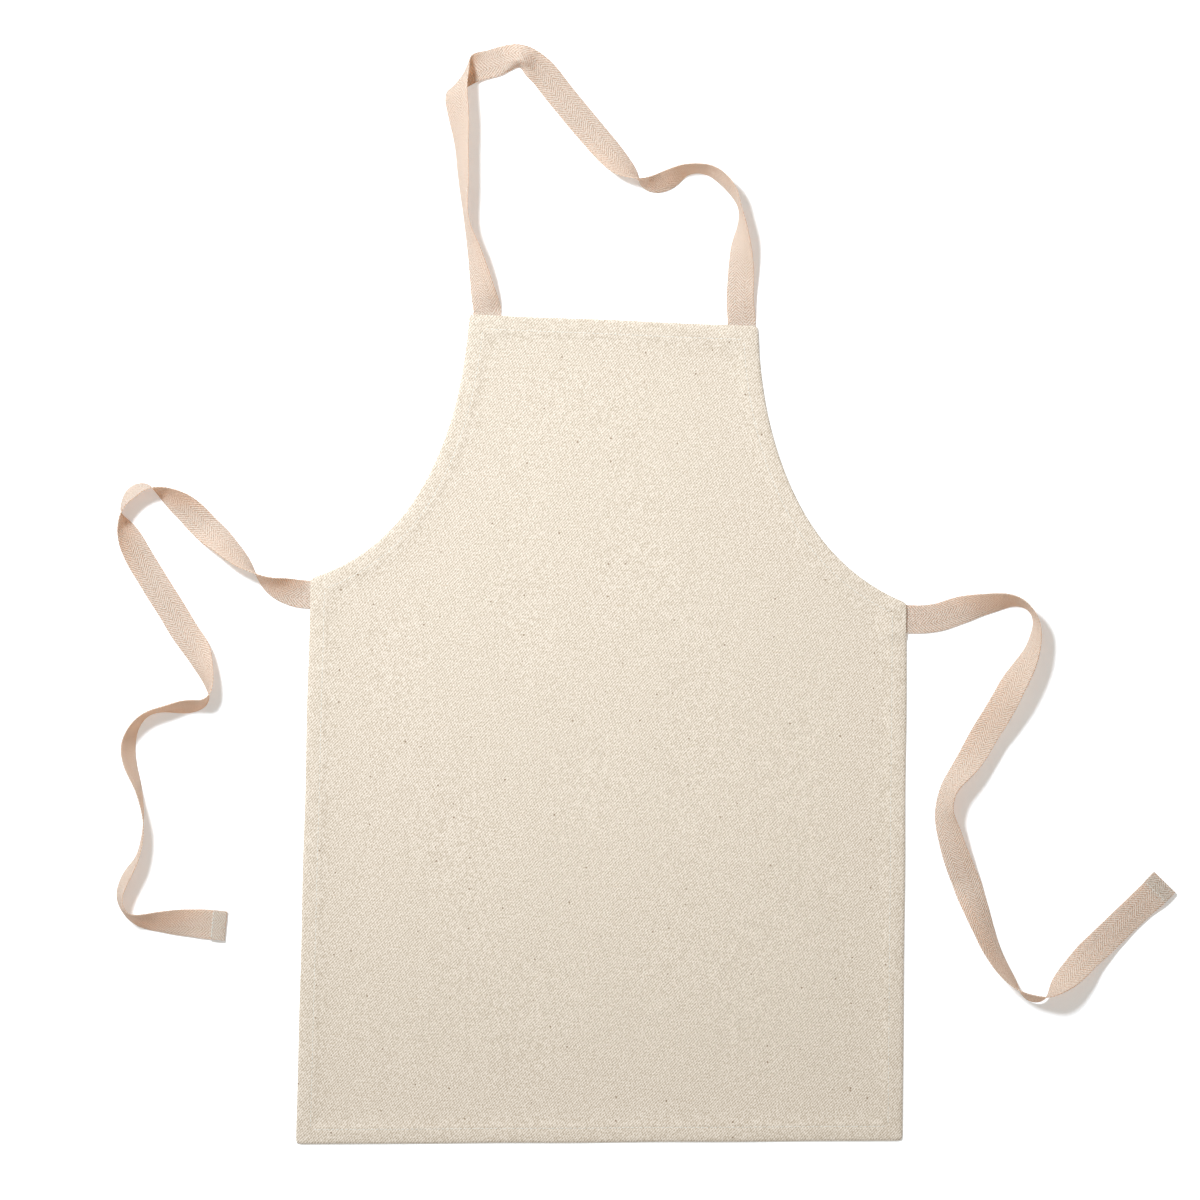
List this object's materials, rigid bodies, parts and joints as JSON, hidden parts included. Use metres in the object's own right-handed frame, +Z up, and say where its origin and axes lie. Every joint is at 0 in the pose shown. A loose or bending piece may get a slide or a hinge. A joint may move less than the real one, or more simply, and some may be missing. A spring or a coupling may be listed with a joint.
{
  "type": "artist smock apron",
  "caption": "Child-size bib apron laid flat: hemmed natural cotton twill panel with a twisted tape neck strap and waist ties sewn into its hems.",
  "frame": {"origin": "middle of the panel's footprint, on the surface the apron lies on", "axes": "+Z up from the surface, through the panel's face side; +Y towards the bib and neck strap; +X towards the right-hand waist tie as laid"},
  "size_m": [0.7223, 0.7503, 0.0217],
  "materials": {
    "cotton_twill": "matte natural cotton twill",
    "herringbone_tape": "matte cotton herringbone tape",
    "sewing_thread": "slightly lustrous spun thread"
  },
  "bodies": {
    "sewn_panel": {"apron_panel": "cotton_twill", "bottom_hem_needle_thread": "sewing_thread", "bottom_hem_bobbin_thread": "sewing_thread", "right_side_hem_needle_thread": "sewing_thread", "right_side_hem_bobbin_thread": "sewing_thread", "right_armhole_hem_needle_thread": "sewing_thread", "right_armhole_hem_bobbin_thread": "sewing_thread", "top_hem_needle_thread": "sewing_thread", "top_hem_bobbin_thread": "sewing_thread", "left_armhole_hem_needle_thread": "sewing_thread", "left_armhole_hem_bobbin_thread": "sewing_thread", "left_side_hem_needle_thread": "sewing_thread", "left_side_hem_bobbin_thread": "sewing_thread", "neck_strap_left_end": "herringbone_tape", "neck_strap_right_end": "herringbone_tape", "left_tie_sewn_end": "herringbone_tape", "right_tie_sewn_end": "herringbone_tape"},
    "neck_loop": {"neck_strap": "herringbone_tape"},
    "left_waist_tie": {"left_tie": "herringbone_tape", "left_tie_hem_needle_thread": "sewing_thread", "left_tie_hem_bobbin_thread": "sewing_thread"},
    "right_waist_tie": {"right_tie": "herringbone_tape", "right_tie_hem_needle_thread": "sewing_thread", "right_tie_hem_bobbin_thread": "sewing_thread"}
  },
  "joints": [
    {"name": "neck_strap_fold", "type": "hinge", "parent": "sewn_panel", "child": "neck_loop", "pos_m": [0, 0.28078, 0.0029], "axis": [0.9997, -0.0237, 0], "range_deg": [0, 140]},
    {"name": "left_tie_fold", "type": "hinge", "parent": "sewn_panel", "child": "left_waist_tie", "pos_m": [-0.20284, 0.0907, 0.0029], "axis": [0.0084, 1, 0], "range_deg": [0, 140]},
    {"name": "right_tie_fold", "type": "hinge", "parent": "sewn_panel", "child": "right_waist_tie", "pos_m": [0.20285, 0.08107, 0.0029], "axis": [0.0089, -1, 0], "range_deg": [0, 140]}
  ]
}
